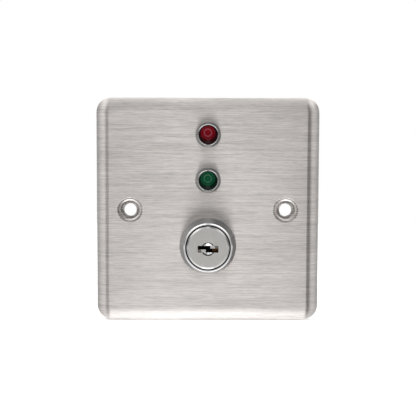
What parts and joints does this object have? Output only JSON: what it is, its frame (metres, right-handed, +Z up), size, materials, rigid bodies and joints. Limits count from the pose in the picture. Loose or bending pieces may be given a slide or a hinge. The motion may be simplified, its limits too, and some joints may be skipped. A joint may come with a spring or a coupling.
{
  "type": "key selector switch",
  "caption": "Square brushed-steel wall plate with a quarter-turn key lock that works snap-action switches, under a red and a green indicator.",
  "frame": {"origin": "on the wall plane, midway between the two fixing holes", "axes": "+Y into the wall, +Z up the plate, +X to the right seen from the front; the front faces -Y"},
  "size_m": [0.087, 0.0271, 0.087],
  "materials": {
    "plate_steel": "horizontally brushed stainless steel",
    "chrome": "polished chrome plate",
    "plug_nickel": "satin nickel-plated brass",
    "wafer_brass": "stamped brass",
    "spring_steel": "drawn wire",
    "ball_steel": "polished ball",
    "zinc_steel": "zinc-plated steel",
    "lens_red": "tinted acrylic",
    "lens_green": "tinted acrylic",
    "led_epoxy": "milky epoxy",
    "black_plastic": "moulded, fine texture",
    "cover_plastic": "moulded cover",
    "plunger_plastic": "moulded",
    "terminal_green": "moulded polyamide",
    "board_green": "solder-masked laminate",
    "resistor_tan": "lacquered",
    "contact_copper": "bronze strip",
    "tinned": "tinned copper",
    "solder": "bright solder"
  },
  "bodies": {
    "frame": {"faceplate": "plate_steel", "red_led_bezel": "chrome", "green_led_bezel": "chrome", "red_lens": "lens_red", "green_lens": "lens_green", "leds": "led_epoxy", "led_washers": "zinc_steel", "led_nuts": "zinc_steel", "led_collars": "black_plastic", "led_leads": "tinned", "lock_housing": "chrome", "lock_washer": "zinc_steel", "lock_nut": "zinc_steel", "circuit_board": "board_green", "board_studs": "zinc_steel", "board_spacers": "zinc_steel", "board_nuts": "zinc_steel", "terminal_housing": "terminal_green", "terminal_busbars": "tinned", "resistor_bodies": "resistor_tan", "resistor_leads": "tinned", "solder_joints": "solder", "left_switch_case": "black_plastic", "left_switch_cover": "cover_plastic", "left_switch_contacts": "contact_copper", "right_switch_case": "black_plastic", "right_switch_cover": "cover_plastic", "right_switch_contacts": "contact_copper"},
    "plug": {"lock_plug": "plug_nickel", "retaining_clip": "spring_steel", "stop_washer": "zinc_steel", "switch_cam": "zinc_steel", "cam_spring_washer": "spring_steel", "cam_screw": "zinc_steel", "wafer_springs": "spring_steel", "detent_spring": "spring_steel"},
    "wafer_1": {"wafer_1": "wafer_brass"},
    "wafer_2": {"wafer_2": "wafer_brass"},
    "wafer_3": {"wafer_3": "wafer_brass"},
    "wafer_4": {"wafer_4": "wafer_brass"},
    "wafer_5": {"wafer_5": "wafer_brass"},
    "wafer_6": {"wafer_6": "wafer_brass"},
    "wafer_7": {"wafer_7": "wafer_brass"},
    "detent_ball": {"detent_ball": "ball_steel"},
    "left_plunger": {"left_plunger": "plunger_plastic"},
    "left_blade": {"left_snap_blade": "contact_copper"},
    "right_plunger": {"right_plunger": "plunger_plastic"},
    "right_blade": {"right_snap_blade": "contact_copper"},
    "terminal_screw_1": {"terminal_screw_1": "zinc_steel"},
    "terminal_cage_1": {"terminal_cage_1": "zinc_steel"},
    "terminal_screw_2": {"terminal_screw_2": "zinc_steel"},
    "terminal_cage_2": {"terminal_cage_2": "zinc_steel"},
    "terminal_screw_3": {"terminal_screw_3": "zinc_steel"},
    "terminal_cage_3": {"terminal_cage_3": "zinc_steel"},
    "terminal_screw_4": {"terminal_screw_4": "zinc_steel"},
    "terminal_cage_4": {"terminal_cage_4": "zinc_steel"},
    "terminal_screw_5": {"terminal_screw_5": "zinc_steel"},
    "terminal_cage_5": {"terminal_cage_5": "zinc_steel"},
    "terminal_screw_6": {"terminal_screw_6": "zinc_steel"},
    "terminal_cage_6": {"terminal_cage_6": "zinc_steel"}
  },
  "joints": [
    {"name": "plug_turn", "type": "hinge", "parent": "frame", "child": "plug", "pos_m": [0, 0, -0.014], "axis": [0, 1, 0], "range_deg": [0, 90]},
    {"name": "wafer_1_slide", "type": "slide", "parent": "plug", "child": "wafer_1", "axis": [1, 0, 0], "range_m": [0, 0.00045], "stiffness_N_per_m": 60, "springref_m": 0.001, "deforming": ["wafer_springs"]},
    {"name": "wafer_2_slide", "type": "slide", "parent": "plug", "child": "wafer_2", "axis": [-1, 0, 0], "range_m": [0, 0.00045], "stiffness_N_per_m": 60, "springref_m": 0.001, "deforming": ["wafer_springs"]},
    {"name": "wafer_3_slide", "type": "slide", "parent": "plug", "child": "wafer_3", "axis": [1, 0, 0], "range_m": [0, 0.00045], "stiffness_N_per_m": 60, "springref_m": 0.001, "deforming": ["wafer_springs"]},
    {"name": "wafer_4_slide", "type": "slide", "parent": "plug", "child": "wafer_4", "axis": [-1, 0, 0], "range_m": [0, 0.00045], "stiffness_N_per_m": 60, "springref_m": 0.001, "deforming": ["wafer_springs"]},
    {"name": "wafer_5_slide", "type": "slide", "parent": "plug", "child": "wafer_5", "axis": [1, 0, 0], "range_m": [0, 0.00045], "stiffness_N_per_m": 60, "springref_m": 0.001, "deforming": ["wafer_springs"]},
    {"name": "wafer_6_slide", "type": "slide", "parent": "plug", "child": "wafer_6", "axis": [-1, 0, 0], "range_m": [0, 0.00045], "stiffness_N_per_m": 60, "springref_m": 0.001, "deforming": ["wafer_springs"]},
    {"name": "wafer_7_slide", "type": "slide", "parent": "plug", "child": "wafer_7", "axis": [1, 0, 0], "range_m": [0, 0.00045], "stiffness_N_per_m": 60, "springref_m": 0.001, "deforming": ["wafer_springs"]},
    {"name": "detent_press", "type": "slide", "parent": "plug", "child": "detent_ball", "axis": [0, 0, 1], "range_m": [0, 0.0004], "stiffness_N_per_m": 200, "springref_m": 0.001, "deforming": ["detent_spring"]},
    {"name": "left_plunger_push", "type": "slide", "parent": "frame", "child": "left_plunger", "axis": [-1, 0, 0], "range_m": [0, 0.00101]},
    {"name": "left_blade_rock", "type": "hinge", "parent": "frame", "child": "left_blade", "pos_m": [-0.0134, 0.0078, -0.008], "axis": [0, 1, 0], "range_deg": [0, 9.6]},
    {"name": "right_plunger_push", "type": "slide", "parent": "frame", "child": "right_plunger", "axis": [1, 0, 0], "range_m": [0, 0.00101]},
    {"name": "right_blade_rock", "type": "hinge", "parent": "frame", "child": "right_blade", "pos_m": [0.0134, 0.0078, -0.02], "axis": [0, 1, 0], "range_deg": [0, 9.6]},
    {"name": "terminal_cage_1_rise", "type": "slide", "parent": "frame", "child": "terminal_cage_1", "axis": [0, 1, 0], "range_m": [0, 0.00175]},
    {"name": "terminal_screw_1_turn", "type": "hinge", "parent": "frame", "child": "terminal_screw_1", "pos_m": [-0.0125, 0.0127, 0.0218], "axis": [0, -1, 0], "range_deg": [0, 1261]},
    {"name": "terminal_cage_2_rise", "type": "slide", "parent": "frame", "child": "terminal_cage_2", "axis": [0, 1, 0], "range_m": [0, 0.00175]},
    {"name": "terminal_screw_2_turn", "type": "hinge", "parent": "frame", "child": "terminal_screw_2", "pos_m": [-0.0075, 0.0127, 0.0218], "axis": [0, -1, 0], "range_deg": [0, 1261]},
    {"name": "terminal_cage_3_rise", "type": "slide", "parent": "frame", "child": "terminal_cage_3", "axis": [0, 1, 0], "range_m": [0, 0.00175]},
    {"name": "terminal_screw_3_turn", "type": "hinge", "parent": "frame", "child": "terminal_screw_3", "pos_m": [-0.0025, 0.0127, 0.0218], "axis": [0, -1, 0], "range_deg": [0, 1261]},
    {"name": "terminal_cage_4_rise", "type": "slide", "parent": "frame", "child": "terminal_cage_4", "axis": [0, 1, 0], "range_m": [0, 0.00175]},
    {"name": "terminal_screw_4_turn", "type": "hinge", "parent": "frame", "child": "terminal_screw_4", "pos_m": [0.0025, 0.0127, 0.0218], "axis": [0, -1, 0], "range_deg": [0, 1261]},
    {"name": "terminal_cage_5_rise", "type": "slide", "parent": "frame", "child": "terminal_cage_5", "axis": [0, 1, 0], "range_m": [0, 0.00175]},
    {"name": "terminal_screw_5_turn", "type": "hinge", "parent": "frame", "child": "terminal_screw_5", "pos_m": [0.0075, 0.0127, 0.0218], "axis": [0, -1, 0], "range_deg": [0, 1261]},
    {"name": "terminal_cage_6_rise", "type": "slide", "parent": "frame", "child": "terminal_cage_6", "axis": [0, 1, 0], "range_m": [0, 0.00175]},
    {"name": "terminal_screw_6_turn", "type": "hinge", "parent": "frame", "child": "terminal_screw_6", "pos_m": [0.0125, 0.0127, 0.0218], "axis": [0, -1, 0], "range_deg": [0, 1261]}
  ],
  "couplings": [
    {"joint": "left_plunger_push", "follows": "plug_turn", "m_per_rad": 0.00063662},
    {"joint": "left_blade_rock", "follows": "plug_turn", "ratio": 0.1061},
    {"joint": "right_plunger_push", "follows": "plug_turn", "m_per_rad": 0.00063662},
    {"joint": "right_blade_rock", "follows": "plug_turn", "ratio": 0.1061},
    {"joint": "terminal_screw_1_turn", "follows": "terminal_cage_1_rise", "rad_per_m": 12566},
    {"joint": "terminal_screw_2_turn", "follows": "terminal_cage_2_rise", "rad_per_m": 12566},
    {"joint": "terminal_screw_3_turn", "follows": "terminal_cage_3_rise", "rad_per_m": 12566},
    {"joint": "terminal_screw_4_turn", "follows": "terminal_cage_4_rise", "rad_per_m": 12566},
    {"joint": "terminal_screw_5_turn", "follows": "terminal_cage_5_rise", "rad_per_m": 12566},
    {"joint": "terminal_screw_6_turn", "follows": "terminal_cage_6_rise", "rad_per_m": 12566}
  ]
}
